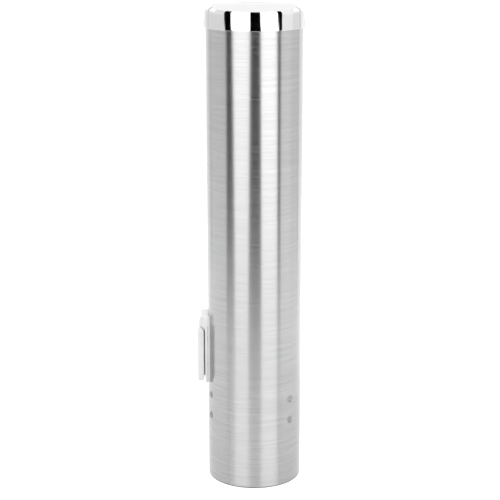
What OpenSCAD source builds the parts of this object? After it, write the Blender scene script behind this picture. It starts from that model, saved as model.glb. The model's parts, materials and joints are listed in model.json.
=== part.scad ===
// Wall-mounted pull-type cup dispenser: a steel tube with a lift-off cap, hung on a two-piece
// bracket. Three sprung fingers inside the lower end hold the rim of the lowest cup.
// Frame: origin at the centre of the wall plate's back, +X away from the wall, +Z up.

/* [Tube] */
// Outside diameter of the tube
tube_od = 80; // [76:0.5:95]
// Thickness of the tube's wall
tube_wall = 0.8; // [0.6:0.1:1.2]
// Length of the tube from end to end
tube_len = 406; // [300:1:600]
// Outside radius of the rolled-in lower edge
hem_r = 1.4; // [1.3:0.1:2.5]
// Straight leg of the hem above its bend
hem_leg = 2; // [1:0.5:6]

/* [Cap] */
// Thickness of the cap's wall
cap_wall = 1.3; // [1:0.1:2]
// Gap between the cap's skirt and the tube
cap_fit = 0.3; // [0.2:0.05:0.6]
// Height of the cap's straight side
cap_straight = 13; // [8:0.5:30]
// Reach of the tube's end above the straight side
cap_seat = 1; // [0:0.1:1.4]
// Radius of the cap's rounded shoulder
cap_shoulder = 8.6; // [7:0.2:12]
// Rise of the crowned top above the shoulder
cap_crown = 3.2; // [2:0.2:10]
// Number of ribs that rest on the end of the tube
cap_ribs = 8; // [4:1:12]
// Thickness of each rib
cap_rib_t = 1.4; // [1:0.1:2]
// Reach of each rib towards the middle of the cap
cap_rib_reach = 6; // [4:0.5:10]

/* [Wall plate] */
// Height of the plate's centre above the lower end of the tube
plate_level = 113; // [104:0.5:200]
// Distance from the wall to the nearest point of the tube
standoff = 8.7; // [8:0.1:30]
// Height of the plate
plate_h = 48; // [40:0.5:80]
// Width of the plate
plate_w = 28; // [26:0.5:50]
// Thickness of the plate behind its channel
plate_t = 2.4; // [2:0.1:3]
// Radius of the plate's corners
plate_corner = 2.5; // [1:0.5:5]
// Depth of the channel in the plate's front
rail_depth = 2.8; // [2.4:0.1:3.4]
// Height of the slope at the upper end of the channel
rail_lead = 2.8; // [1:0.1:4]
// Height of the web that closes the channel's lower end
channel_web = 3; // [2:0.5:6]
// Distance between the two screw holes
screw_pitch = 30; // [20:0.5:32]
// Diameter of the screw holes
screw_d = 4.5; // [4:0.1:5]
// Diameter of the countersinks
sink_d = 8; // [7:0.1:9]
// Depth of the countersinks
sink_depth = 1.7; // [1:0.1:1.8]

/* [Saddle] */
// Width of the block between the strap and the tube
saddle_w = 25; // [16:0.5:30]
// Width of the flat strap at the saddle's back
strap_w = 27; // [16:0.5:34]
// Thickness of the strap
strap_t = 2.2; // [1.4:0.1:3]
// Reach of the strap above the plate
strap_rise = 1; // [0:0.5:4]
// Gap between the plate's front and the saddle's back
saddle_gap = 1; // [0.6:0.1:2]
// Reach of the saddle below the plate
saddle_drop = 2; // [0:0.5:10]
// Height of the hook tab above the plate
hook_h = 9; // [6:0.5:20]
// Depth of the hook tab behind the saddle's back
hook_depth = 4.3; // [2:0.1:5]
// Radius of the hook tab's upper edge
hook_round = 1.2; // [0.8:0.1:2]
// Gap between the hook tab and the slope of the channel
hook_gap = 0.5; // [0.4:0.1:1]
// Bevel along the saddle's edges
saddle_bevel = 0.6; // [0.4:0.1:1]
// Width of the tongue at its wide edge
tongue_w = 18; // [14:0.5:20]
// Undercut of the dovetail on each side
undercut = 2; // [1:0.1:2.5]
// Gap between the tongue and its channel
slide_fit = 0.25; // [0.15:0.05:0.4]
// Height of the lower rivet above the plate's lower edge
saddle_rivet_foot = 12; // [8:0.5:14]
// Distance between the saddle's rivets
saddle_rivet_pitch = 30; // [20:0.5:31]
// Shank diameter of the saddle's rivets
saddle_rivet_d = 4; // [3:0.1:5]
// Head diameter of the saddle's rivets
saddle_rivet_head_d = 6.8; // [6:0.1:8]
// Head height of the saddle's rivets
saddle_rivet_head_h = 1; // [0.6:0.1:1.4]

/* [Cup fingers] */
// Turn of the first finger from the side of the wall
station_turn = 20; // [0:0.5:60]
// Height of the lower rivets above the end of the tube
rivet_level = 58; // [54:0.5:64]
// Distance between the two rivets of a finger
rivet_pitch = 18.5; // [12:0.5:24]
// Shank diameter of the finger rivets
rivet_d = 3.5; // [3:0.1:4]
// Diameter of the outer rivet heads
rivet_head_d = 6; // [5:0.1:7]
// Height of the outer rivet heads
rivet_head_h = 0.9; // [0.5:0.1:1.2]
// Diameter of the clinched inner ends of the rivets
clinch_d = 5; // [4.4:0.1:6]
// Height of the clinched inner ends
clinch_h = 0.8; // [0.5:0.1:1.2]
// Thickness of the hinge leaf
leaf_t = 1; // [0.8:0.1:1.2]
// Leaf above the upper rivet
leaf_margin = 6; // [4:0.5:10]
// Drop from the lower rivet to the hinge pin
hinge_drop = 9; // [8.5:0.1:12]
// Diameter of the hinge pin
pin_d = 1.5; // [1.2:0.1:1.8]
// Running clearance of a finger on its pin
pin_run = 0.04; // [0.02:0.01:0.08]
// Thickness of the knuckles round the pin
knuckle_wall = 1.05; // [0.9:0.05:1.3]
// Width of each knuckle of the leaf
leaf_knuckle = 2; // [1.5:0.1:3]
// Width of each knuckle of the finger
finger_knuckle = 1.6; // [1.4:0.1:2.5]
// Gap between neighbouring knuckles
knuckle_gap = 0.2; // [0.1:0.05:0.4]
// Length of a finger from its pin
finger_len = 24; // [20:0.5:28]
// Thickness of a finger
finger_t = 1.8; // [1.4:0.1:2.2]
// Width of a finger's lower edge
finger_edge_w = 12; // [10:0.5:14]
// Radius of a finger's lower corners
finger_corner = 2.5; // [1:0.1:3]
// Length of a finger's straight neck below its pin
finger_neck = 6; // [5:0.5:8]
// Distance from the pin to a finger's full width
finger_flare = 12; // [10:0.5:14]
// Lean of a finger from upright, at rest
finger_lean = 20; // [16:1:24]
// Reach of the nose in front of the finger
nose_reach = 2.6; // [1.5:0.1:3.5]
// Radius of the nose
nose_r = 0.8; // [0.5:0.1:1]
// Height of the ramp above the nose
nose_ramp = 4; // [2.5:0.1:6]
// Height of the heel that stops the finger, above the pin
heel_h = 5.2; // [4.6:0.1:6]

/* [Finger springs] */
// Diameter of the spring wire
wire_d = 0.6; // [0.4:0.05:0.7]
// Number of whole turns
coil_turns = 5; // [3:1:7]
// Gap between neighbouring turns
coil_gap = 0.45; // [0.42:0.01:0.8]
// Gap between the turns and the pin
coil_fit = 0.1; // [0.05:0.05:0.2]
// Length of the leg that lies on the finger
spring_leg = 11; // [8:0.5:14]

/* [Hidden] */
$fn = 64;
// Number of cup fingers, evenly spaced round the tube
stations = 3;
// Gap between pieces that are riveted or rest on each other
seat_gap = 0.05;
// Gap between the hinge and the tube or the leaf
wall_gap = 0.4;
// Gap between a heel and the leaf that stops it
heel_gap = 0.3;
// Points along each turn of a spring, and sides of its wire
coil_rings = 8;
wire_sides = 6;

// Distance from an axis to a cylinder's wall, measured along a line set off to one side
function wall_at(r, side) = sqrt(r * r - side * side);

// Tube
tube_r = tube_od / 2;
bore_r = tube_r - tube_wall;
axis_x = standoff + tube_r;
tube_foot = -plate_level;
tube_top = tube_foot + tube_len;

// Cap
skirt_r = tube_r + cap_fit;
cap_r = skirt_r + cap_wall;
cap_overlap = cap_straight + cap_seat;

// Bracket
rail_face = plate_t + rail_depth;
saddle_back = rail_face + saddle_gap;
hook_back = saddle_back - hook_depth;
plate_top = plate_h / 2;
saddle_top = plate_top + hook_h;
strap_top = plate_top + strap_rise;
tongue_top = plate_top + hook_gap;
saddle_foot = -plate_top - saddle_drop;
tongue_foot = channel_web - plate_top;
saddle_rivet_levels = [for (i = [0, 1]) saddle_rivet_foot + i * saddle_rivet_pitch - plate_top];

// Half width of the dovetail at a distance from the wall
function dovetail(x) = tongue_w / 2 - undercut * (x - plate_t) / rail_depth;

// Level of the slope at the upper end of the channel, at a distance from the wall
function lead_level(x) = plate_top - rail_lead * (x - plate_t) / rail_depth;

// Finger stations, measured from the tube's axis and its lower end
rivet_levels = [for (i = [0, 1]) rivet_level + i * rivet_pitch];
rivet_hole_r = rivet_d / 2 + seat_gap;
clinch_r = clinch_d / 2;
pin_r = pin_d / 2;
wire_r = wire_d / 2;
knuckle_r = pin_r + knuckle_wall;
coil_r = (pin_r + coil_fit + wire_r) / cos(180 / coil_rings);
coil_pitch = wire_d + coil_gap;
coil_sweep = 360 * coil_turns + finger_lean;
coil_len = coil_pitch * coil_sweep / 360;
spring_room = coil_len + wire_d + 2 * knuckle_gap;
finger_w = spring_room + 2 * finger_knuckle;
leaf_gap_w = finger_w + 2 * knuckle_gap;
leaf_w = leaf_gap_w + 2 * leaf_knuckle;
leaf_out_r = bore_r - seat_gap;
leaf_in_r = leaf_out_r - leaf_t;
knuckle_seat = wall_at(bore_r, leaf_w / 2) - wall_gap - knuckle_r;
leg_seat = wall_at(leaf_in_r, coil_len / 2 + wire_r) - seat_gap - wire_r - coil_r;
hinge_r = min(knuckle_seat, leg_seat);
hinge_level = rivet_level - hinge_drop;
leaf_foot = hinge_level + knuckle_r + wall_gap;
leaf_top = rivet_level + rivet_pitch + leaf_margin;
heel_face = wall_at(leaf_in_r, finger_w / 2) - heel_gap - hinge_r;
finger_back = coil_r - wire_r - seat_gap;
finger_front = finger_back - finger_t;

// Spring path round the pin: x outwards, y along the pin, z up. It comes down the leaf, winds
// round the pin and goes on down the back of the finger.
coil_steps = ceil(coil_sweep * coil_rings / 360);
leaf_leg = hinge_drop - clinch_r - wire_d;
leg_steps = 4;
coil_angles = [for (i = [0 : coil_steps]) -coil_sweep * i / coil_steps];
function coil_point(a) = [coil_r * cos(a), -coil_pitch * a / 360 - coil_len / 2, coil_r * sin(a)];
function coil_way(a) = [sin(a), coil_pitch / (2 * PI * coil_r), -cos(a)];
finger_way = [-sin(finger_lean), 0, -cos(finger_lean)];
spring_points = concat(
    [for (i = [leg_steps : -1 : 1]) coil_point(0) + [0, 0, leaf_leg * i / leg_steps]],
    [for (a = coil_angles) coil_point(a)],
    [for (i = [1 : leg_steps]) coil_point(-coil_sweep) + finger_way * spring_leg * i / leg_steps]);
spring_ways = concat(
    [for (i = [1 : leg_steps]) [0, 0, -1]],
    [for (a = coil_angles) coil_way(a)],
    [for (i = [1 : leg_steps]) finger_way]);
spring_turns = concat(
    [for (i = [1 : leg_steps]) 0],
    coil_angles,
    [for (i = [1 : leg_steps]) -coil_sweep]);

// Least gap between stretches of the spring that lie more than half a turn apart
function spring_gap() = min([
    for (i = [0 : len(spring_points) - 1])
        for (j = [i + coil_rings / 2 + 1 : 1 : len(spring_points) - 1])
            if (spring_turns[i] - spring_turns[j] > 180)
                norm(spring_points[i] - spring_points[j]) - wire_d]);
echo(least_gap_between_spring_turns_mm = spring_gap());

// Places its children in a finger's own frame: x outwards from the tube's axis, z from its end
module at_station(k) {
    translate([axis_x, 0, tube_foot])
        rotate([0, 0, 180 + station_turn + k * 360 / stations])
            children();
}

// Places its children at a finger's hinge pin
module at_hinge(k) {
    at_station(k)
        translate([hinge_r, 0, hinge_level])
            children();
}

// Extrudes a shape drawn in x and z along y, about y = 0
module across(w) {
    rotate([90, 0, 0])
        linear_extrude(height = w, center = true)
            children();
}

// Extrudes a shape drawn in y and z along x, from x = 0
module outward(d) {
    rotate([90, 0, 90])
        linear_extrude(height = d)
            children();
}

// Rectangle with round corners, about the origin
module round_rect(w, h, r) {
    square([w - 2 * r, h], center = true);
    square([w, h - 2 * r], center = true);
    for (x = [-1, 1], y = [-1, 1])
        translate([x * (w / 2 - r), y * (h / 2 - r)])
            circle(r);
}

// Rivet standing on z = 0 with a domed head above and its shank below
module rivet(shank_r, head_r, head_h, length) {
    dome_r = (head_r * head_r + head_h * head_h) / (2 * head_h);
    rotate_extrude() {
        intersection() {
            translate([0, head_h - dome_r])
                circle(dome_r);
            square([head_r, head_h]);
        }
        translate([0, -length])
            square([shank_r, length]);
    }
}

// Wall of the tube with its lower edge rolled inwards
module tube_profile() {
    translate([bore_r, hem_r])
        square([tube_wall, tube_len - hem_r]);
    translate([tube_r - hem_r, hem_r])
        difference() {
            circle(hem_r);
            circle(hem_r - tube_wall);
            translate([-2 * hem_r, 0])
                square([4 * hem_r, 2 * hem_r]);
        }
    translate([tube_r - 2 * hem_r, hem_r])
        square([tube_wall, hem_leg]);
}

module tube() {
    color("silver")
        difference() {
            translate([axis_x, 0, tube_foot])
                rotate_extrude()
                    tube_profile();
            for (k = [0 : stations - 1], level = rivet_levels)
                at_station(k)
                    translate([bore_r - tube_wall, 0, level])
                        rotate([0, 90, 0])
                            cylinder(r = rivet_hole_r, h = 3 * tube_wall);
            for (level = saddle_rivet_levels)
                translate([standoff - tube_wall, 0, level])
                    rotate([0, 90, 0])
                        cylinder(r = saddle_rivet_d / 2 + seat_gap, h = 3 * tube_wall);
        }
}

// Half section of a crowned cap: straight side, round shoulder and shallow crown, all tangent
module cap_outline(r, shoulder) {
    rise = shoulder + cap_crown;
    flat_r = r - shoulder;
    crown_r = (flat_r * flat_r + rise * rise - shoulder * shoulder) / (2 * cap_crown);
    meet_x = flat_r * crown_r / (crown_r - shoulder);
    square([r, cap_straight]);
    translate([flat_r, cap_straight])
        intersection() {
            circle(shoulder);
            square(shoulder);
        }
    intersection() {
        translate([0, cap_straight + rise - crown_r])
            circle(crown_r);
        square([meet_x, cap_straight + rise]);
    }
}

module cap() {
    rib_h = cap_shoulder + cap_crown;
    color("gainsboro")
        translate([axis_x, 0, tube_top - cap_overlap]) {
            difference() {
                rotate_extrude()
                    cap_outline(cap_r, cap_shoulder);
                rotate_extrude()
                    cap_outline(skirt_r, cap_shoulder - cap_wall);
            }
            intersection() {
                for (i = [0 : cap_ribs - 1])
                    rotate([0, 0, (i + 0.5) * 360 / cap_ribs])
                        translate([skirt_r - cap_rib_reach, -cap_rib_t / 2, cap_overlap])
                            cube([cap_rib_reach + cap_wall / 2, cap_rib_t, rib_h]);
                rotate_extrude()
                    cap_outline(cap_r - cap_wall / 2, cap_shoulder - cap_wall / 2);
            }
        }
}

// The plate's channel seen from above, wide at its floor, and open towards the tube
module channel_section() {
    floor_half = dovetail(plate_t) + slide_fit;
    mouth_half = dovetail(rail_face) + slide_fit;
    polygon([
        [plate_t, -floor_half],
        [rail_face, -mouth_half],
        [rail_face + rail_depth, -mouth_half],
        [rail_face + rail_depth, mouth_half],
        [rail_face, mouth_half],
        [plate_t, floor_half]]);
}

// What the slope takes off the upper ends of the rails, seen from the side
module lead_section() {
    polygon([
        [plate_t, plate_top],
        [rail_face + rail_depth, lead_level(rail_face + rail_depth)],
        [rail_face + rail_depth, plate_top + rail_lead],
        [plate_t, plate_top + rail_lead]]);
}

module wall_plate() {
    color("white")
        difference() {
            outward(rail_face)
                round_rect(plate_w, plate_h, plate_corner);
            translate([0, 0, channel_web - plate_top])
                linear_extrude(height = plate_h)
                    channel_section();
            across(2 * plate_w)
                lead_section();
            for (side = [-1, 1])
                translate([0, 0, side * screw_pitch / 2])
                    rotate([0, 90, 0]) {
                        cylinder(d = screw_d, h = plate_t);
                        translate([0, 0, plate_t - sink_depth])
                            cylinder(d1 = screw_d, d2 = sink_d, h = sink_depth);
                    }
        }
}

// A layer of the saddle seen from above, with bevelled edges towards the plate
module saddle_section(width, depth) {
    polygon([
        [saddle_back, saddle_bevel - width / 2],
        [saddle_back + saddle_bevel, -width / 2],
        [saddle_back + depth, -width / 2],
        [saddle_back + depth, width / 2],
        [saddle_back + saddle_bevel, width / 2],
        [saddle_back, width / 2 - saddle_bevel]]);
}

// The tongue seen from above
module tongue_section() {
    tip = plate_t + slide_fit;
    polygon([
        [tip, -dovetail(tip)],
        [rail_face, -dovetail(rail_face)],
        [saddle_back + saddle_bevel, -dovetail(rail_face)],
        [saddle_back + saddle_bevel, dovetail(rail_face)],
        [rail_face, dovetail(rail_face)],
        [tip, dovetail(tip)]]);
}

// The hook tab seen from its side: rounded above, with an underside that follows the plate's slope
module hook_section() {
    inside = saddle_back + saddle_bevel;
    polygon([
        [hook_back, lead_level(hook_back) + hook_gap],
        [inside, lead_level(inside) + hook_gap],
        [inside, saddle_top],
        [hook_back + hook_round, saddle_top],
        [hook_back + hook_round, saddle_top - hook_round],
        [hook_back, saddle_top - hook_round]]);
    translate([hook_back + hook_round, saddle_top - hook_round])
        circle(hook_round);
}

module saddle() {
    color("white")
        difference() {
            union() {
                translate([0, 0, saddle_foot]) {
                    linear_extrude(height = saddle_top - saddle_foot)
                        saddle_section(saddle_w, axis_x - saddle_back);
                    linear_extrude(height = strap_top - saddle_foot)
                        saddle_section(strap_w, strap_t);
                }
                translate([0, 0, tongue_foot])
                    linear_extrude(height = tongue_top - tongue_foot)
                        tongue_section();
                across(saddle_w - 2 * saddle_bevel)
                    hook_section();
            }
            translate([axis_x, 0, tube_foot])
                cylinder(r = tube_r + seat_gap, h = tube_len, $fn = 128);
            for (level = saddle_rivet_levels)
                translate([rail_face, 0, level])
                    rotate([0, 90, 0])
                        cylinder(r = saddle_rivet_d / 2 + seat_gap, h = standoff);
        }
}

module saddle_rivets() {
    head_r = saddle_rivet_head_d / 2;
    seat = axis_x - wall_at(bore_r, head_r) + seat_gap;
    color("gray")
        for (level = saddle_rivet_levels)
            translate([seat, 0, level])
                rotate([0, 90, 0])
                    rivet(saddle_rivet_d / 2, head_r, saddle_rivet_head_h, seat - rail_face - seat_gap);
}

// Outline of the leaf seen from inside the tube, with a gap between its two knuckles
module leaf_outline() {
    corner = leaf_knuckle / 2;
    difference() {
        translate([0, (hinge_level + leaf_top) / 2])
            round_rect(leaf_w, leaf_top - hinge_level, corner);
        translate([-leaf_gap_w / 2, hinge_level - knuckle_r])
            square([leaf_gap_w, leaf_foot - hinge_level + knuckle_r]);
    }
}

module hinge_leaf(k) {
    color("lightgray")
        at_station(k)
            difference() {
                union() {
                    intersection() {
                        difference() {
                            cylinder(r = leaf_out_r, h = leaf_top);
                            cylinder(r = leaf_in_r, h = leaf_top);
                        }
                        outward(tube_r)
                            leaf_outline();
                    }
                    for (side = [-1, 1])
                        translate([hinge_r, side * (leaf_w - leaf_knuckle) / 2, hinge_level])
                            across(leaf_knuckle)
                                circle(knuckle_r);
                }
                translate([hinge_r, 0, hinge_level])
                    across(2 * leaf_w)
                        circle(pin_r + pin_run / 2);
                for (level = rivet_levels)
                    translate([leaf_in_r - leaf_t, 0, level])
                        rotate([0, 90, 0])
                            cylinder(r = rivet_hole_r, h = 3 * leaf_t);
            }
}

// Side view of a finger that hangs straight down from its pin at the origin
module finger_profile() {
    tip_r = finger_t / 2;
    circle(knuckle_r);
    translate([finger_front, tip_r - finger_len])
        square([finger_t, finger_len - tip_r]);
    hull() {
        translate([finger_front + tip_r, tip_r - finger_len])
            circle(tip_r);
        translate([finger_front - nose_reach + nose_r, finger_t + nose_r - finger_len])
            circle(nose_r);
        translate([finger_front, finger_t + 2 * nose_r - finger_len])
            square([finger_t, nose_ramp]);
    }
}

// Front view of a finger: straight beside its knuckles, then flared to its rounded lower edge
module finger_outline() {
    polygon([
        [-finger_w / 2, knuckle_r],
        [finger_w / 2, knuckle_r],
        [finger_w / 2, -finger_neck],
        [finger_edge_w / 2, -finger_flare],
        [-finger_edge_w / 2, -finger_flare],
        [-finger_w / 2, -finger_neck]]);
    translate([0, -(finger_flare + finger_len) / 2])
        round_rect(finger_edge_w, finger_len - finger_flare, finger_corner);
    translate([-finger_edge_w / 2, -finger_flare - finger_corner])
        square([finger_edge_w, finger_corner]);
}

// Side view of the heel, a round-topped lug on the finger's knuckles
module heel_profile() {
    half = (pin_r + heel_face) / 2;
    translate([heel_face - half, heel_h - half])
        circle(half);
    translate([heel_face - 2 * half, 0])
        square([2 * half, heel_h - half]);
}

module finger(k) {
    depth = 2 * (nose_reach + finger_t + knuckle_r);
    color("whitesmoke")
        at_hinge(k)
            difference() {
                union() {
                    rotate([0, finger_lean, 0])
                        intersection() {
                            across(finger_w + finger_edge_w)
                                finger_profile();
                            translate([-depth / 2, 0, 0])
                                outward(depth)
                                    finger_outline();
                        }
                    across(finger_w)
                        heel_profile();
                }
                rotate([0, finger_lean, 0])
                    translate([-depth / 2, -spring_room / 2, -2 * knuckle_r])
                        cube([depth, spring_room, 2 * heel_h + 2 * knuckle_r]);
                across(leaf_w)
                    circle(pin_r + pin_run);
            }
}

module hinge_pin(k) {
    head_r = pin_r + knuckle_wall / 2;
    head_h = pin_r;
    color("dimgray")
        at_hinge(k)
            rotate([90, 0, 0]) {
                cylinder(r = pin_r, h = leaf_w + 2 * seat_gap + head_h, center = true);
                for (side = [0, 1])
                    mirror([0, 0, side])
                        translate([0, 0, leaf_w / 2 + seat_gap])
                            rivet(pin_r, head_r, head_h, leaf_w / 4);
            }
}

// Tube of wire_sides flat sides along the spring path
module spring_wire() {
    last = len(spring_points) - 1;
    points = [
        for (i = [0 : last])
            let (side = [cos(spring_turns[i]), 0, sin(spring_turns[i])])
            let (way = spring_ways[i] / norm(spring_ways[i]))
            let (up = cross(way, side))
            for (s = [0 : wire_sides - 1])
                spring_points[i]
                    + wire_r * (side * cos(360 * s / wire_sides) + up * sin(360 * s / wire_sides))];
    walls = [
        for (i = [0 : last - 1], s = [0 : wire_sides - 1])
            let (a = i * wire_sides + s)
            let (b = i * wire_sides + (s + 1) % wire_sides)
            each [[a, a + wire_sides, b], [b, a + wire_sides, b + wire_sides]]];
    ends = [
        for (s = [1 : wire_sides - 2])
            let (far = last * wire_sides)
            each [[0, s, s + 1], [far, far + s + 1, far + s]]];
    polyhedron(points = points, faces = concat(walls, ends));
}

module finger_spring(k) {
    color("slategray")
        at_hinge(k)
            spring_wire();
}

module finger_rivets(k) {
    clinch_seat = wall_at(leaf_in_r, clinch_r) - seat_gap;
    head_seat = tube_r + seat_gap;
    color("dimgray")
        at_station(k)
            for (level = rivet_levels)
                translate([head_seat, 0, level])
                    rotate([0, 90, 0]) {
                        rivet(rivet_d / 2, rivet_head_d / 2, rivet_head_h, head_seat - clinch_seat);
                        translate([0, 0, clinch_seat - clinch_h - head_seat])
                            cylinder(r = clinch_r, h = clinch_h);
                    }
}

tube();
cap();
wall_plate();
saddle();
saddle_rivets();
hinge_leaf(0);  // hinge_leaf_1
hinge_leaf(1);  // hinge_leaf_2
hinge_leaf(2);  // hinge_leaf_3
finger(0);  // finger_1
finger(1);  // finger_2
finger(2);  // finger_3
hinge_pin(0);  // hinge_pin_1
hinge_pin(1);  // hinge_pin_2
hinge_pin(2);  // hinge_pin_3
finger_spring(0);  // finger_spring_1
finger_spring(1);  // finger_spring_2
finger_spring(2);  // finger_spring_3
finger_rivets(0);  // finger_rivets_1
finger_rivets(1);  // finger_rivets_2
finger_rivets(2);  // finger_rivets_3
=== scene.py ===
# Wall-hung cup dispenser, dressed in the order in which it is put together.
# Sizes are in metres: +X away from the wall, +Z up along the tube.
import json
import math

import bmesh
import bpy
from mathutils import Matrix, Vector


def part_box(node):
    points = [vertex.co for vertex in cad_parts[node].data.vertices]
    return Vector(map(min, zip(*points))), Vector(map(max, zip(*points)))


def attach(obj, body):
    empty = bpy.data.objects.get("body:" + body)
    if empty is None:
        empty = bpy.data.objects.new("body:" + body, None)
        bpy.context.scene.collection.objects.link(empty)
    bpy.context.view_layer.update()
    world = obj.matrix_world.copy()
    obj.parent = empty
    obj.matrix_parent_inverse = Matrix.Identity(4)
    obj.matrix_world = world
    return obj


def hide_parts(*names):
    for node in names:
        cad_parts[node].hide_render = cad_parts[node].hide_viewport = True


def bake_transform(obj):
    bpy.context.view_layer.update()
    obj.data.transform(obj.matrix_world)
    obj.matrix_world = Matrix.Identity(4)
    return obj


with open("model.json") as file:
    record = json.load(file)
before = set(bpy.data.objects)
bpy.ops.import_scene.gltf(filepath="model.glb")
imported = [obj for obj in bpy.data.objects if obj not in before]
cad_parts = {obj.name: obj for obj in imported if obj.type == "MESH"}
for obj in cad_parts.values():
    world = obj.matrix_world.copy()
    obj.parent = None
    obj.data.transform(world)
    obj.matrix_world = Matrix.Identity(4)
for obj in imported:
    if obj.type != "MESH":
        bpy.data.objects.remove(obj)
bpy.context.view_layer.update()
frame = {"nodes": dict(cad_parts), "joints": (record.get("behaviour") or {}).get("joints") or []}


# Tube
# Drawn stainless tube, brushed round its girth and left plain at its upper end.
# The lower edge is rolled inwards to a smooth hem that cups can't catch on.
tube_low, tube_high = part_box("tube")
axis_x = (tube_low[0] + tube_high[0]) / 2
tube_radius = (tube_high[0] - tube_low[0]) / 2
tube_foot = tube_low[2]
tube_top = tube_high[2]
tube_wall = 0.0008
hem_radius = 0.0014
hem_leg = 0.002
hem_steps = 18
hem_inner_steps = 12
tube_edge = 0.00015
edge_steps = 3
edge_run = 4 * tube_edge
tube_grey = (0.513, 0.513, 0.516)
tube_grey_dark = (0.452, 0.452, 0.455)

girth_steps = 192
on_axis = 1e-7
noise_detail = 3.0
noise_low = 0.3
noise_high = 0.7


def arc(centre, radius, first, last, steps):
    """Points of (radius, height) round an arc, its angles in degrees from straight outwards."""
    turns = [math.radians(first + (last - first) * i / steps) for i in range(steps + 1)]
    return [(centre[0] + radius * math.cos(a), centre[1] + radius * math.sin(a)) for a in turns]


def as_mesh(name, shape):
    """Keeps a shape that is being edited as a mesh."""
    mesh = bpy.data.meshes.new(name)
    shape.to_mesh(mesh)
    shape.free()
    return mesh


def turned(name, outline, steps=girth_steps):
    """Turns a closed outline of (radius, height) points round Z, with u along it and v round it."""
    shape = bmesh.new()
    brush = shape.loops.layers.uv.new("brush")
    girth = 2 * math.pi * max(radius for radius, height in outline)
    ways = [(math.cos(2 * math.pi * i / steps), math.sin(2 * math.pi * i / steps)) for i in range(steps)]
    rings = []
    for radius, height in outline:
        if radius < on_axis:
            rings.append([shape.verts.new((0, 0, height))] * steps)
        else:
            rings.append([shape.verts.new((radius * x, radius * y, height)) for x, y in ways])
    u = 0.0
    for k, ring in enumerate(rings):
        after = (k + 1) % len(rings)
        u_after = u + math.dist(outline[k], outline[after])
        for i in range(steps):
            j = (i + 1) % steps
            v = girth * i / steps
            v_after = girth * (i + 1) / steps
            corners = {}
            for point, place in (
                (ring[i], (u, v)),
                (ring[j], (u, v_after)),
                (rings[after][j], (u_after, v_after)),
                (rings[after][i], (u_after, v)),
            ):
                corners.setdefault(point, place)
            if len(corners) > 2:
                face = shape.faces.new(list(corners))
                for loop, place in zip(face.loops, corners.values()):
                    loop[brush].uv = place
        u = u_after
    bmesh.ops.recalc_face_normals(shape, faces=shape.faces)
    return as_mesh(name, shape)


def placed(name, mesh, finish, sharp=40):
    """Makes a mesh an object of the scene, smooth but for edges sharper than so many degrees."""
    mesh.polygons.foreach_set("use_smooth", [True] * len(mesh.polygons))
    mesh.set_sharp_from_angle(angle=math.radians(sharp))
    mesh.materials.clear()
    mesh.materials.append(finish)
    made = bpy.data.objects.new(name, mesh)
    bpy.context.scene.collection.objects.link(made)
    return made


def add(tree, kind, inputs=None, **settings):
    """Adds a node to a tree, with each input a value or the output that feeds it."""
    made = tree.nodes.new(kind)
    for key, value in settings.items():
        setattr(made, key, value)
    for key, value in (inputs or {}).items():
        if isinstance(value, bpy.types.NodeSocket):
            tree.links.new(value, made.inputs[key])
        else:
            made.inputs[key].default_value = value
    return made


def new_finish(name, **sockets):
    """A material with its constant values set on the shader's own sockets."""
    finish = bpy.data.materials.new(name)
    finish.use_nodes = True
    tree = finish.node_tree
    shader = tree.nodes["Principled BSDF"]
    for key, value in sockets.items():
        shader.inputs[key.replace("_", " ")].default_value = value
    return finish, tree, shader


def grain(tree, place, cells, low=0.0, high=1.0):
    """Noise of so many cells per metre along each axis, spread between two values."""
    mapped = add(tree, "ShaderNodeMapping", {"Vector": place, "Scale": cells})
    noise = add(tree, "ShaderNodeTexNoise", {
        "Vector": mapped.outputs[0], "Scale": 1.0, "Detail": noise_detail})
    spread = add(tree, "ShaderNodeMapRange", {
        "Value": noise.outputs[0], "From Min": noise_low, "From Max": noise_high,
        "To Min": low, "To Max": high})
    return spread.outputs[0]


def grained(name, tones, tone_cells, roughness, rough_cells, bump, bump_cells, **sockets):
    """A finish with a grain in its tone, its roughness and its relief of a strength and a depth."""
    finish, tree, shader = new_finish(name, **sockets)
    place = add(tree, "ShaderNodeTexCoord").outputs["Object"]
    tone = add(tree, "ShaderNodeValToRGB", {"Fac": grain(tree, place, tone_cells)})
    for stop, colour in zip(tone.color_ramp.elements, tones):
        stop.color = (*colour, 1)
    strength, depth = bump
    relief = add(tree, "ShaderNodeBump", {
        "Height": grain(tree, place, bump_cells), "Strength": strength, "Distance": depth})
    tree.links.new(tone.outputs[0], shader.inputs["Base Color"])
    tree.links.new(grain(tree, place, rough_cells, *roughness), shader.inputs["Roughness"])
    tree.links.new(relief.outputs[0], shader.inputs["Normal"])
    return finish, tree, shader


tube_steel, tree, shader = grained(
    "tube_steel", tones=(tube_grey_dark, tube_grey), tone_cells=(22, 22, 800),
    roughness=(0.23, 0.275), rough_cells=(30, 30, 1800),
    bump=(0.04, 0.00002), bump_cells=(40, 40, 3600), Metallic=1.0, Anisotropic=0.78)
along_tube = add(tree, "ShaderNodeTangent", direction_type="UV_MAP", uv_map="brush")
tree.links.new(along_tube.outputs[0], shader.inputs["Tangent"])

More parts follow.
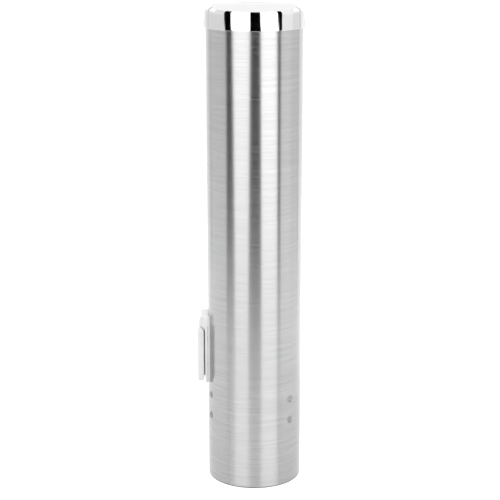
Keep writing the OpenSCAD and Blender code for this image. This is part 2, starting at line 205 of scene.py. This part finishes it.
tube_middle = (tube_top + tube_foot) / 2
tube_in = tube_radius - tube_wall
hem_top = tube_foot + hem_radius
hem_centre = (tube_radius - hem_radius, hem_top)
leg_in = tube_radius - 2 * hem_radius
leg_out = leg_in + tube_wall
leg_top = hem_top + hem_leg
tube_outline = [
    *arc((tube_radius - tube_edge, tube_top - tube_edge), tube_edge, 90, 0, edge_steps),
    (tube_radius, tube_top - edge_run),
    (tube_radius, tube_middle),
    (tube_radius, hem_top + edge_run),
    *arc(hem_centre, hem_radius, 0, -180, hem_steps),
    (leg_in, leg_top - edge_run),
    *arc((leg_in + tube_edge, leg_top - tube_edge), tube_edge, 180, 90, edge_steps),
    *arc((leg_out - tube_edge, leg_top - tube_edge), tube_edge, 90, 0, edge_steps),
    (leg_out, leg_top - edge_run),
    *arc(hem_centre, hem_radius - tube_wall, -180, 0, hem_inner_steps),
    (tube_in, hem_top + edge_run),
    (tube_in, tube_middle),
    (tube_in, tube_top - edge_run),
    *arc((tube_in + tube_edge, tube_top - tube_edge), tube_edge, 180, 90, edge_steps),
]
tube_mesh = turned("brushed_tube", tube_outline)
tube_mesh.transform(Matrix.Translation((axis_x, 0, 0)))
tube = placed("brushed_tube", tube_mesh, tube_steel)
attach(tube, "dispenser")
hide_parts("tube")


# Saddle
# White moulded bracket on the side of the tube, hollowed to its curve, with a hook tab above.
# Its dovetail tongue drops into the channel of the wall plate.
bracket_white = (0.76, 0.76, 0.755)
bracket_white_dark = (0.72, 0.72, 0.715)
saddle_round = 0.0003
weld = 2e-6
flat_within = 0.5


def rounded(shape, edges, round_off, steps):
    """Rounds off some of a shape's edges."""
    bmesh.ops.bevel(
        shape, geom=edges, offset=round_off, offset_type="OFFSET", segments=steps,
        profile=0.5, affect="EDGES", clamp_overlap=True)


def dressed(node, name, finish, round_off, room=2.0, steps=3, crease=30, knife=130):
    """Copies a CAD node as one closed mesh and rounds off its crisp edges where they have room."""
    shape = bmesh.new()
    shape.from_mesh(frame["nodes"][node].data)
    bmesh.ops.remove_doubles(shape, verts=shape.verts, dist=weld)
    bmesh.ops.dissolve_limit(
        shape, angle_limit=math.radians(flat_within), verts=shape.verts, edges=shape.edges)
    crisp = []
    for edge in shape.edges:
        shortest = min(near.calc_length() for end in edge.verts for near in end.link_edges)
        if crease < math.degrees(edge.calc_face_angle()) < knife and shortest > room * round_off:
            crisp.append(edge)
    rounded(shape, crisp, round_off, steps)
    bmesh.ops.dissolve_degenerate(shape, dist=weld, edges=shape.edges)
    bmesh.ops.triangulate(shape, faces=[face for face in shape.faces if len(face.verts) > 4])
    return placed(name, as_mesh(name, shape), finish, sharp=crease)


bracket_plastic, tree, shader = grained(
    "bracket_plastic", tones=(bracket_white_dark, bracket_white), tone_cells=(60, 60, 60),
    roughness=(0.36, 0.5), rough_cells=(900, 900, 900),
    bump=(0.18, 0.00003), bump_cells=(2600, 2600, 2600), Specular_IOR_Level=0.5)

saddle = dressed("saddle", "hook_saddle", bracket_plastic, saddle_round)
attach(saddle, "dispenser")
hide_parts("saddle")


# Saddle rivets
# Two steel rivets, set from inside the tube, that hold the saddle.
# Their low domed heads lie against the bore, clear of the cups.
saddle_rivet_pitch = 0.03
saddle_rivet_low, saddle_rivet_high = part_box("saddle_rivets")
saddle_head_radius = 0.0034
saddle_head_height = 0.001
saddle_shank_radius = 0.002
saddle_shank = saddle_rivet_high[0] - saddle_rivet_low[0] - saddle_head_height
rivet_grey = (0.46, 0.46, 0.465)
rivet_grey_dark = (0.38, 0.38, 0.385)

rivet_steps = 32
dome_steps = 10
dimple_share = 0.22
dimple_floor = 0.7
dimple_depth = 0.4
dimple_side_depth = 0.3
head_rim = 0.06
head_rim_round = 0.05


def rivet(name, head_radius, head_height, shank_radius, foot):
    """A rivet along X: a domed head above x = 0, with a small dimple, and its shank below."""
    dome = (head_radius ** 2 + head_height ** 2) / (2 * head_height)
    dome_centre = (0.0, head_height - dome)
    dome_foot = math.degrees(math.asin((dome - head_height) / dome))
    dimple = dimple_share * head_radius
    dimple_turn = math.acos(dimple / dome)
    dimple_level = dome_centre[1] + dome * math.sin(dimple_turn)
    outline = [
        (0.0, dimple_level - dimple_depth * dimple),
        (dimple_floor * dimple, dimple_level - dimple_side_depth * dimple),
        *arc(dome_centre, dome, math.degrees(dimple_turn), dome_foot + 1, dome_steps),
        (head_radius, head_rim * head_height),
        (head_radius - head_rim_round * head_height, 0.0),
        (shank_radius, 0.0),
        *foot,
    ]
    mesh = turned(name, outline, steps=rivet_steps)
    mesh.transform(Matrix.Rotation(math.pi / 2, 4, "Y"))
    return mesh


def new_tree(name, sockets, result):
    """A geometry tree with named inputs, each of its kind, and one geometry as its result."""
    tree = bpy.data.node_groups.new(name, "GeometryNodeTree")
    for socket, kind in sockets.items():
        tree.interface.new_socket(socket, in_out="INPUT", socket_type="NodeSocket" + kind)
    tree.interface.new_socket(result, in_out="OUTPUT", socket_type="NodeSocketGeometry")
    return tree, tree.nodes.new("NodeGroupInput").outputs


def reckon(tree, kind, *values, clamp=False):
    """A sum of numbers and of the outputs of other nodes."""
    node = add(tree, "ShaderNodeMath", dict(enumerate(values)), operation=kind, use_clamp=clamp)
    return node.outputs[0]


def painted_result(tree, geometry, finish):
    """Ends a geometry tree with real faces in one finish."""
    solid = add(tree, "GeometryNodeRealizeInstances", {0: geometry})
    painted = add(tree, "GeometryNodeSetMaterial", {"Geometry": solid.outputs[0], "Material": finish})
    add(tree, "NodeGroupOutput", {0: painted.outputs[0]})


def ring_tree(name):
    """Node tree that repeats a piece in turns round an upright axis and in rows along it."""
    tree, given = new_tree(name, {
        "Piece": "Geometry",
        "Count": "Int",
        "Rows": "Int",
        "First turn": "Float",
        "Axis": "Vector",
        "Row pitch": "Float",
        "Finish": "Material",
    }, "Pieces")
    index = add(tree, "GeometryNodeInputIndex").outputs[0]
    row = reckon(tree, "FLOOR", reckon(tree, "DIVIDE", index, given["Count"]))
    lift = add(tree, "ShaderNodeCombineXYZ", {"Z": reckon(tree, "MULTIPLY", row, given["Row pitch"])})
    place = add(tree, "ShaderNodeVectorMath", {0: given["Axis"], 1: lift.outputs[0]}, operation="ADD")
    in_row = reckon(tree, "MODULO", index, given["Count"])
    share = reckon(tree, "DIVIDE", in_row, given["Count"])
    turn = reckon(tree, "ADD", reckon(tree, "MULTIPLY", share, 2 * math.pi), given["First turn"])
    points = add(tree, "GeometryNodePoints", {
        "Count": reckon(tree, "MULTIPLY", given["Count"], given["Rows"]), "Position": place.outputs[0]})
    copies = add(tree, "GeometryNodeInstanceOnPoints", {
        "Points": points.outputs[0],
        "Instance": given["Piece"],
        "Rotation": add(tree, "ShaderNodeCombineXYZ", {"Z": turn}).outputs[0]})
    painted_result(tree, copies.outputs[0], given["Finish"])
    return tree


def grown(name, mesh, tree, finish, **sizes):
    """Runs a node tree on a mesh with the given sizes and keeps the result as a plain mesh."""
    seed = placed(name + "_seed", mesh, finish)
    nodes = seed.modifiers.new("grow", "NODES")
    nodes.node_group = tree
    sizes["Finish"] = finish
    for socket in tree.interface.items_tree:
        key = socket.name.replace(" ", "_")
        if key in sizes:
            nodes[socket.identifier] = sizes[key]
    graph = bpy.context.evaluated_depsgraph_get()
    result = bpy.data.meshes.new_from_object(seed.evaluated_get(graph))
    bpy.data.objects.remove(seed)
    return placed(name, result, finish)


rivet_steel, tree, shader = grained(
    "rivet_steel", tones=(rivet_grey_dark, rivet_grey), tone_cells=(700, 700, 700),
    roughness=(0.26, 0.4), rough_cells=(1500, 1500, 1500),
    bump=(0.15, 0.00003), bump_cells=(2500, 2500, 2500), Metallic=1.0)

in_rings = ring_tree("pieces_in_rings")
saddle_rivet = rivet(
    "saddle_rivet", saddle_head_radius, saddle_head_height, saddle_shank_radius,
    foot=[(saddle_shank_radius, -saddle_shank), (0.0, -saddle_shank)])
saddle_rivets = grown(
    "saddle_rivet_pair", saddle_rivet, in_rings, rivet_steel, Count=1, Rows=2, First_turn=0.0,
    Axis=(saddle_rivet_high[0] - saddle_head_height, 0, saddle_rivet_low[2] + saddle_head_radius),
    Row_pitch=saddle_rivet_pitch)
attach(saddle_rivets, "dispenser")
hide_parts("saddle_rivets")


# Hinge leaves
# Three leaves stamped from steel sheet and curved to the bore, each with two rolled knuckles.
# They stand at even turns round the lower end of the tube.
stations = (1, 2, 3)
first_station = math.radians(200)
leaf_sheet = 0.001
leaf_round = 0.00018
leaf_grey = (0.5, 0.5, 0.505)
leaf_grey_dark = (0.43, 0.43, 0.435)

leaf_steel, tree, shader = grained(
    "leaf_steel", tones=(leaf_grey_dark, leaf_grey), tone_cells=(2200, 2200, 60),
    roughness=(0.26, 0.4), rough_cells=(900, 900, 120),
    bump=(0.1, 0.00002), bump_cells=(3000, 3000, 90), Metallic=1.0)

for k in stations:
    leaf = dressed(f"hinge_leaf_{k}", f"curved_leaf_{k}", leaf_steel, leaf_round)
    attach(leaf, "dispenser")
    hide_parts(f"hinge_leaf_{k}")


# Finger rivets
# Six dark-plated rivets, two to a leaf, put in from outside and clinched over the leaf.
# Their heads are the only sign of the fingers from outside.
finger_rivet_pitch = 0.0185
finger_head_radius = 0.003
finger_head_height = 0.0009
finger_shank_radius = 0.00175
clinch_radius = 0.0025
clinch_height = 0.0008
clinch_round = 0.0002
clinch_flat = 0.5 * clinch_radius
clinch_hollow = 0.3 * clinch_radius
seat_gap = 0.00005
leaf_inside = tube_in - seat_gap - leaf_sheet
clinch_seat = math.sqrt(leaf_inside ** 2 - clinch_radius ** 2) - seat_gap
finger_shank = tube_radius + seat_gap - clinch_seat
clinch_end = -finger_shank - clinch_height
finger_rivet_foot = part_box("finger_rivets_1")[0][2] + finger_head_radius
plating_dark = (0.3, 0.3, 0.305)
plating_light = (0.42, 0.42, 0.425)

dark_plating, tree, shader = grained(
    "dark_plating", tones=(plating_dark, plating_light), tone_cells=(500, 500, 500),
    roughness=(0.3, 0.46), rough_cells=(1400, 1400, 1400),
    bump=(0.15, 0.00003), bump_cells=(2400, 2400, 2400), Metallic=1.0)

clinch_corner = (clinch_radius - clinch_round, clinch_end + clinch_round)
finger_rivet = rivet(
    "finger_rivet", finger_head_radius, finger_head_height, finger_shank_radius,
    foot=[
        (finger_shank_radius, -finger_shank),
        (clinch_radius, -finger_shank),
        (clinch_radius, clinch_end + 2 * clinch_round),
        *arc(clinch_corner, clinch_round, 0, -90, edge_steps),
        (clinch_flat, clinch_end),
        (clinch_hollow, clinch_end + clinch_round),
        (0.0, clinch_end + clinch_round),
    ])
finger_rivet.transform(Matrix.Translation((tube_radius + seat_gap, 0, 0)))
finger_rivets = grown(
    "finger_rivets", finger_rivet, in_rings, dark_plating, Count=len(stations), Rows=2,
    First_turn=first_station, Axis=(axis_x, 0, finger_rivet_foot), Row_pitch=finger_rivet_pitch)
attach(finger_rivets, "dispenser")
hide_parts("finger_rivets_1", "finger_rivets_2", "finger_rivets_3")


# Fingers and their pins
# Three fingers moulded in white acetal, each with a nose that the rim of the lowest cup rests on.
# Each swings on a steel pin whose ends are headed over the knuckles of its leaf.
finger_round = 0.0003
pin_round = 0.00008
finger_white = (0.79, 0.785, 0.765)
finger_white_dark = (0.73, 0.725, 0.705)
pin_grey = (0.52, 0.52, 0.525)
pin_grey_dark = (0.44, 0.44, 0.445)

finger_plastic, tree, shader = grained(
    "finger_plastic", tones=(finger_white_dark, finger_white), tone_cells=(90, 90, 45),
    roughness=(0.3, 0.44), rough_cells=(700, 700, 700),
    bump=(0.12, 0.00003), bump_cells=(2000, 2000, 2000), Subsurface_Weight=0.12, Subsurface_Scale=0.001)

pin_steel, tree, shader = grained(
    "pin_steel", tones=(pin_grey_dark, pin_grey), tone_cells=(1200, 1200, 1200),
    roughness=(0.18, 0.3), rough_cells=(1800, 1800, 1800),
    bump=(0.1, 0.00002), bump_cells=(3000, 3000, 3000), Metallic=1.0)

for k in stations:
    finger = dressed(f"finger_{k}", f"cup_finger_{k}", finger_plastic, finger_round)
    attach(finger, f"finger_{k}")
    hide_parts(f"finger_{k}")
    pin = dressed(f"hinge_pin_{k}", f"headed_pin_{k}", pin_steel, pin_round)
    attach(pin, "dispenser")
    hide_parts(f"hinge_pin_{k}")


# Finger springs
# Three torsion springs of drawn steel wire, wound round the pins between the knuckles.
# One leg presses on the leaf and the other on the back of the finger.
wire_diameter = 0.0006
wire_sides = 12
coil_radius = 0.00124475
coil_pitch = 0.00105
coil_turns = 5
coil_points = 128
finger_lean = math.radians(20)
coil_sweep = 2 * math.pi * coil_turns + finger_lean
coil_length = coil_pitch * coil_sweep / (2 * math.pi)
leaf_leg = 0.0059
finger_leg = 0.011
leg_points = 8
spring_grey = (0.4, 0.4, 0.405)
spring_grey_dark = (0.31, 0.31, 0.315)


def spring_tree(name):
    """Node tree for a wound wire: down one leg, round the pin along Y and down the other leg."""
    tree, given = new_tree(name, {
        "Piece": "Geometry",
        "Leg points": "Int",
        "Coil points": "Int",
        "Wire sides": "Int",
        "Wire diameter": "Float",
        "Coil radius": "Float",
        "Coil length": "Float",
        "Coil sweep": "Float",
        "Leaf leg": "Float",
        "Finger leg": "Float",
        "Finger way": "Vector",
        "Hinge": "Vector",
        "Station turn": "Float",
        "Finish": "Material",
    }, "Spring")
    index = add(tree, "GeometryNodeInputIndex").outputs[0]
    past_leg = reckon(tree, "SUBTRACT", index, given["Leg points"])
    past_coil = reckon(tree, "SUBTRACT", past_leg, given["Coil points"])
    share = reckon(tree, "DIVIDE", past_leg, given["Coil points"], clamp=True)
    short_of = reckon(tree, "SUBTRACT", given["Leg points"], index)
    before = reckon(tree, "MAXIMUM", reckon(tree, "DIVIDE", short_of, given["Leg points"]), 0.0)
    beyond = reckon(tree, "MAXIMUM", reckon(tree, "DIVIDE", past_coil, given["Leg points"]), 0.0)
    angle = reckon(tree, "MULTIPLY", reckon(tree, "MULTIPLY", share, given["Coil sweep"]), -1.0)
    out = reckon(tree, "MULTIPLY", reckon(tree, "COSINE", angle), given["Coil radius"])
    along_pin = reckon(tree, "MULTIPLY", reckon(tree, "SUBTRACT", share, 0.5), given["Coil length"])
    up = reckon(tree, "MULTIPLY", reckon(tree, "SINE", angle), given["Coil radius"])
    up_leaf = reckon(tree, "MULTIPLY", before, given["Leaf leg"])
    round_pin = add(tree, "ShaderNodeCombineXYZ", {
        "X": out, "Y": along_pin, "Z": reckon(tree, "ADD", up, up_leaf)})
    down_finger = add(tree, "ShaderNodeVectorMath", {
        0: given["Finger way"], "Scale": reckon(tree, "MULTIPLY", beyond, given["Finger leg"])},
        operation="SCALE")
    place = add(tree, "ShaderNodeVectorMath", {
        0: round_pin.outputs[0], 1: down_finger.outputs[0]}, operation="ADD")
    both_legs = reckon(tree, "MULTIPLY", given["Leg points"], 2.0)
    count = reckon(tree, "ADD", reckon(tree, "ADD", given["Coil points"], both_legs), 1.0)
    line = add(tree, "GeometryNodeResampleCurve", {
        "Curve": add(tree, "GeometryNodeCurvePrimitiveLine").outputs[0], "Count": count})
    path = add(tree, "GeometryNodeSetPosition", {
        "Geometry": line.outputs[0], "Position": place.outputs[0]})
    section = add(tree, "GeometryNodeCurvePrimitiveCircle", {
        "Resolution": given["Wire sides"],
        "Radius": reckon(tree, "MULTIPLY", given["Wire diameter"], 0.5)})
    wire = add(tree, "GeometryNodeCurveToMesh", {
        "Curve": path.outputs[0], "Profile Curve": section.outputs[0], "Fill Caps": True})
    turn = add(tree, "ShaderNodeCombineXYZ", {"Z": given["Station turn"]})
    set_in = add(tree, "GeometryNodeTransform", {
        "Geometry": wire.outputs[0], "Translation": given["Hinge"], "Rotation": turn.outputs[0]})
    painted_result(tree, set_in.outputs[0], given["Finish"])
    return tree


spring_wire, tree, shader = grained(
    "spring_wire", tones=(spring_grey_dark, spring_grey), tone_cells=(1500, 1500, 1500),
    roughness=(0.24, 0.38), rough_cells=(2500, 2500, 2500),
    bump=(0.1, 0.00002), bump_cells=(4000, 4000, 4000), Metallic=1.0)

wound_spring = spring_tree("wound_spring")
hinges = {joint["name"]: Vector(joint["pos_m"]) for joint in frame["joints"] if joint["type"] == "hinge"}
for k in stations:
    hinge = hinges[f"finger_{k}_hinge"]
    station = first_station + (k - 1) * 2 * math.pi / len(stations)
    spring = grown(
        f"torsion_spring_{k}", bpy.data.meshes.new("spring_seed"), wound_spring, spring_wire,
        Leg_points=leg_points, Coil_points=coil_points, Wire_sides=wire_sides,
        Wire_diameter=wire_diameter, Coil_radius=coil_radius, Coil_length=coil_length,
        Coil_sweep=coil_sweep, Leaf_leg=leaf_leg, Finger_leg=finger_leg,
        Finger_way=(-math.sin(finger_lean), 0, -math.cos(finger_lean)),
        Hinge=hinge, Station_turn=station)
    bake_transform(spring)
    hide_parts(f"finger_spring_{k}")


# Wall plate
# White moulded plate, screwed to the wall through two countersunk holes in its dovetail channel.
# The channel is open at the top, where the rails slope to lead the tongue in.
plate_round = 0.00035

wall_plate = dressed("wall_plate", "channel_plate", bracket_plastic, plate_round, room=0)
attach(wall_plate, "wall_bracket")
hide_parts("wall_plate")


# Cap
# Moulded cap with a low crown, plated in bright chrome, that slips over the end of the tube.
# Ribs inside its top rest on the tube, and it lifts off for filling.
cap_low, cap_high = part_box("cap")
cap_radius = cap_high[0] - axis_x
cap_foot = cap_low[2]
cap_wall = 0.0013
cap_shoulder = 0.0086
cap_crown = 0.0032
cap_side = cap_high[2] - cap_shoulder - cap_crown
cap_edge = 0.0003
cap_edge_run = 3 * cap_edge
cap_edge_steps = 4
crown_steps = 24
shoulder_steps = 12
skirt = cap_radius - cap_wall
rib_count = 8
rib_thickness = 0.0014
rib_reach = 0.006
rib_round = 0.0002
rib_round_steps = 2
rib_crease = math.radians(60)
chrome_grey = (0.75, 0.75, 0.753)
chrome_grey_dark = (0.73, 0.73, 0.733)


def crowned(radius, shoulder):
    """Half outline of the cap's top from its middle outwards: a shallow crown, then the shoulder."""
    rise = shoulder + cap_crown
    flat = radius - shoulder
    crown = (flat ** 2 + rise ** 2 - shoulder ** 2) / (2 * cap_crown)
    meet = math.degrees(math.acos(flat / (crown - shoulder)))
    top = arc((0.0, cap_side + rise - crown), crown, 90, meet, crown_steps)
    return top[:-1] + arc((flat, cap_side), shoulder, meet, 0, shoulder_steps)


cap_chrome, tree, shader = grained(
    "cap_chrome", tones=(chrome_grey_dark, chrome_grey), tone_cells=(70, 70, 70),
    roughness=(0.04, 0.075), rough_cells=(180, 180, 180),
    bump=(0.01, 0.00002), bump_cells=(350, 350, 350), Metallic=1.0)

cap_outline = [
    *crowned(cap_radius, cap_shoulder),
    (cap_radius, cap_side - cap_edge),
    (cap_radius, cap_foot + cap_edge_run),
    *arc((cap_radius - cap_edge, cap_foot + cap_edge), cap_edge, 0, -90, cap_edge_steps),
    *arc((skirt + cap_edge, cap_foot + cap_edge), cap_edge, -90, -180, cap_edge_steps),
    (skirt, cap_foot + cap_edge_run),
    (skirt, cap_side - cap_edge),
    *reversed(crowned(skirt, cap_shoulder - cap_wall)),
]
cap_mesh = turned("crowned_cap", cap_outline)
cap_mesh.transform(Matrix.Translation((axis_x, 0, 0)))
cap = placed("crowned_cap", cap_mesh, cap_chrome)
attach(cap, "lid")
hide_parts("cap")

rib_in = skirt - rib_reach
rib_line = crowned(skirt + cap_wall / 2, cap_shoulder - cap_wall / 2)
rib_roots = [(r, z) for r, z in rib_line if r > rib_in and z > tube_top]
rib_corners = [
    (rib_in, tube_top), (rib_in, rib_roots[0][1]), *rib_roots, (rib_roots[-1][0], tube_top)]
rib_shape = bmesh.new()
rib_face = rib_shape.faces.new([
    rib_shape.verts.new((r, -rib_thickness / 2, z)) for r, z in rib_corners])
rib_side = bmesh.ops.extrude_face_region(rib_shape, geom=[rib_face])["geom"]
rib_points = [point for point in rib_side if isinstance(point, bmesh.types.BMVert)]
bmesh.ops.translate(rib_shape, vec=(0, rib_thickness, 0), verts=rib_points)
bmesh.ops.recalc_face_normals(rib_shape, faces=rib_shape.faces)
rib_edges = [edge for edge in rib_shape.edges if edge.calc_face_angle() > rib_crease]
rounded(rib_shape, rib_edges, rib_round, rib_round_steps)
cap_ribs = grown(
    "cap_ribs", as_mesh("cap_rib", rib_shape), in_rings, cap_chrome, Count=rib_count, Rows=1,
    First_turn=math.pi / rib_count, Axis=(axis_x, 0, 0), Row_pitch=0.0)
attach(cap_ribs, "lid")
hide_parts("cap")


# Floor and world
# Pale floor below the hanging tube, and an even white surround.
# Both look white to the camera and in the metal, and light the rest of the part at a plain level.
floor_level = tube_foot - 0.075
floor_half = 6.0
floor_white = (0.82, 0.82, 0.82, 1)
floor_roughness = 0.3
floor_glow = 0.15
floor_glow_seen = 0.3
surround_level = 0.7
white = (1, 1, 1, 1)


def seen(tree):
    """1 for rays from the camera and from bright surfaces, 0 for those that carry soft light."""
    ray = add(tree, "ShaderNodeLightPath").outputs
    bright = reckon(tree, "MAXIMUM", ray["Is Camera Ray"], ray["Is Glossy Ray"])
    return reckon(tree, "MAXIMUM", bright, ray["Is Transmission Ray"])


surround = bpy.data.worlds.new("white_surround")
bpy.context.scene.world = surround
surround.use_nodes = True
tree = surround.node_tree
level = add(tree, "ShaderNodeMapRange", {"Value": seen(tree), "To Min": surround_level, "To Max": 1.0})
tree.nodes["Background"].inputs["Color"].default_value = white
tree.links.new(level.outputs[0], tree.nodes["Background"].inputs["Strength"])

floor_paint, tree, shader = new_finish(
    "floor_paint", Base_Color=floor_white, Roughness=floor_roughness, Specular_IOR_Level=1.0,
    Emission_Color=white)
glow = add(tree, "ShaderNodeMapRange", {
    "Value": add(tree, "ShaderNodeLightPath").outputs["Is Camera Ray"],
    "To Min": floor_glow, "To Max": floor_glow_seen})
tree.links.new(glow.outputs[0], shader.inputs["Emission Strength"])
one_sided = add(tree, "ShaderNodeMixShader", {
    0: add(tree, "ShaderNodeNewGeometry").outputs["Backfacing"],
    1: shader.outputs[0],
    2: add(tree, "ShaderNodeBsdfTransparent").outputs[0]})
tree.links.new(one_sided.outputs[0], tree.nodes["Material Output"].inputs["Surface"])

floor_corners = ((-1, -1), (1, -1), (1, 1), (-1, 1))
floor_mesh = bpy.data.meshes.new("floor")
floor_mesh.from_pydata(
    [(x * floor_half, y * floor_half, floor_level) for x, y in floor_corners], [], [(0, 1, 2, 3)])
placed("floor", floor_mesh, floor_paint)


# Lights and cards
# Tall soft lights stand round the tube and two hang overhead, one of them seen only in the metal.
# Cards, also seen only in the metal, stand or lie on the floor: black ones make its dark upright
# bands, and grey ones soften the rest. The two that lie on the floor are painted shade there: a dark
# disc under the tube is a painted shadow that darkens the hem, and a pale ring dims the floor beside
# and behind the tube where the lower tube reflects it.
light_foot = floor_level + 0.02
upper_foot = tube_foot + 0.095
high_foot = tube_top + 0.08
light_top = tube_top + 0.45
# Each soft light: bearings of its two sides, distance, foot, brightness, and if it lights all surfaces.
soft_lights = (
    (-58, -3, 0.95, light_foot, 0.62, False),
    (8, 60, 0.95, light_foot, 0.83, False),
    (-58, -3, 1.0, upper_foot, 0.5, False),
    (8, 60, 1.0, upper_foot, 0.39, False),
    (64, 96, 0.95, light_foot, 0.2, True),
    (96, 122, 0.95, light_foot, 0.05, True),
    (131, 168, 0.95, light_foot, 0.25, True),
    (-168, -144, 0.95, light_foot, 0.15, True),
    (100, 150, 1.0, high_foot, 0.3, False),
    (150, 210, 1.0, high_foot, 0.3, False),
    (210, 260, 1.0, high_foot, 0.3, False),
)
overhead_size = 2.4
overhead_level = tube_top + 0.6
overhead_brightness = 1.3
sheen_level = overhead_level - 0.03
sheen_brightness = 0.24

black = 0.0
grey = 0.82
card_distance = 0.8
card_steps = 24
card_foot = tube_foot - 0.02
middle_foot = floor_level + 0.022
low_card = tube_top - 0.085
high_card = tube_top + 0.4
# Each card: bearings of its sides at the foot, those at the top, foot, top and tone.
cards = (
    ((-70, -46), (-68.4, -52.3), card_foot, low_card, black),
    ((-70.8, -53.8), (-70.8, -53.8), low_card, high_card, black),
    ((-15.5, 17), (-9.1, 14.6), middle_foot, low_card, black),
    ((-9.2, 13.3), (-9.2, 13.3), low_card, high_card, black),
    ((56, 64.3), (56, 64.3), card_foot, low_card, black),
    ((53, 64.2), (53, 64.2), low_card, high_card, black),
    ((124, 131), (124, 131), card_foot, high_card, grey),
    ((-131, -124), (-131, -124), card_foot, high_card, grey),
    ((166, 194), (166, 194), card_foot, low_card, black),
)
floor_card_level = floor_level + 0.001
# Each floor card, painted shade seen only in the metal: bearings of its two sides, its nearest and
# farthest distance, and tone.
floor_shade_cards = (
    (0, 360, 0.001, 0.15, 0.22),
    (58, 302, 0.15, 0.5, 1.05),
)


def bearing(degrees, distance):
    """Point at a turn from the camera's side, to the right where it is positive, round the tube."""
    turn = math.radians(degrees)
    return axis_x + distance * math.sin(turn), -distance * math.cos(turn)


def soft_light(name, size, height, brightness, location, lights_all=True, in_metal=True):
    """A soft light that faces the tube's axis, or straight down where it hangs over it."""
    lamp = bpy.data.lights.new(name, "AREA")
    lamp.shape = "RECTANGLE"
    lamp.size = size
    lamp.size_y = height
    lamp.energy = brightness * math.pi * size * height
    made = bpy.data.objects.new(name, lamp)
    bpy.context.scene.collection.objects.link(made)
    made.location = location
    to_axis = Vector((axis_x - location[0], -location[1], 0))
    if to_axis.length > 0:
        made.rotation_euler = to_axis.to_track_quat("-Z", "Y").to_euler()
    made.visible_camera = False
    made.visible_diffuse = lights_all
    made.visible_glossy = in_metal


for k, (first, last, distance, foot, brightness, lights_all) in enumerate(soft_lights):
    x, y = bearing((first + last) / 2, distance)
    width = 2 * distance * math.tan(math.radians(last - first) / 2)
    middle = (light_top + foot) / 2
    soft_light(f"soft_light_{k}", width, light_top - foot, brightness, (x, y, middle), lights_all)
soft_light(
    "overhead", overhead_size, overhead_size, overhead_brightness, (axis_x, 0, overhead_level),
    in_metal=False)
soft_light(
    "overhead_sheen", overhead_size, overhead_size, sheen_brightness, (axis_x, 0, sheen_level),
    lights_all=False)


def fan(first, last, distance, level):
    """Points on an arc round the tube."""
    turns = [first + (last - first) * i / card_steps for i in range(card_steps + 1)]
    return [(*bearing(turn, distance), level) for turn in turns]


def lay_card(name, lower, upper, tone):
    """A card between two rows of points, seen in shiny surfaces only."""
    paint, tree, shader = new_finish(
        name, Base_Color=(0, 0, 0, 1), Specular_IOR_Level=0.0, Emission_Color=white,
        Emission_Strength=tone)
    mesh = bpy.data.meshes.new(name)
    quads = [(i, i + 1, i + card_steps + 2, i + card_steps + 1) for i in range(card_steps)]
    mesh.from_pydata(lower + upper, [], quads)
    made = placed(name, mesh, paint)
    made.visible_camera = False
    made.visible_diffuse = False
    made.visible_shadow = False
    made.visible_transmission = False


for k, (lower, upper, foot, top, tone) in enumerate(cards):
    lay_card(f"card_{k}", fan(*lower, card_distance, foot), fan(*upper, card_distance, top), tone)
# Floor cards: painted shade of the floor, the dark disc a painted shadow under the tube.
for k, (first, last, near, far, tone) in enumerate(floor_shade_cards):
    inner = fan(first, last, near, floor_card_level)
    outer = fan(first, last, far, floor_card_level)
    lay_card(f"floor_card_{k}", inner, outer, tone)


# Camera
# A little above the cap and in line with the wall, close enough that the tube tapers downwards.
# A slight shift sets the tube just off the middle of the frame.
camera_distance = 1.2681
camera_height = 0.5177
camera_pitch = 13.98
camera_lens = 110.0
sensor_width = 36.0
frame_shift = -0.0088
farthest_seen = 50.0

view = bpy.data.cameras.new("view")
view.lens = camera_lens
view.sensor_width = sensor_width
view.shift_x = frame_shift
view.clip_end = farthest_seen
camera = bpy.data.objects.new("view", view)
bpy.context.scene.collection.objects.link(camera)
camera.location = (axis_x, -camera_distance, tube_foot + camera_height)
camera.rotation_euler = (math.radians(90 - camera_pitch), 0, 0)
bpy.context.scene.camera = camera

bpy.context.scene.view_settings.view_transform = "Standard"
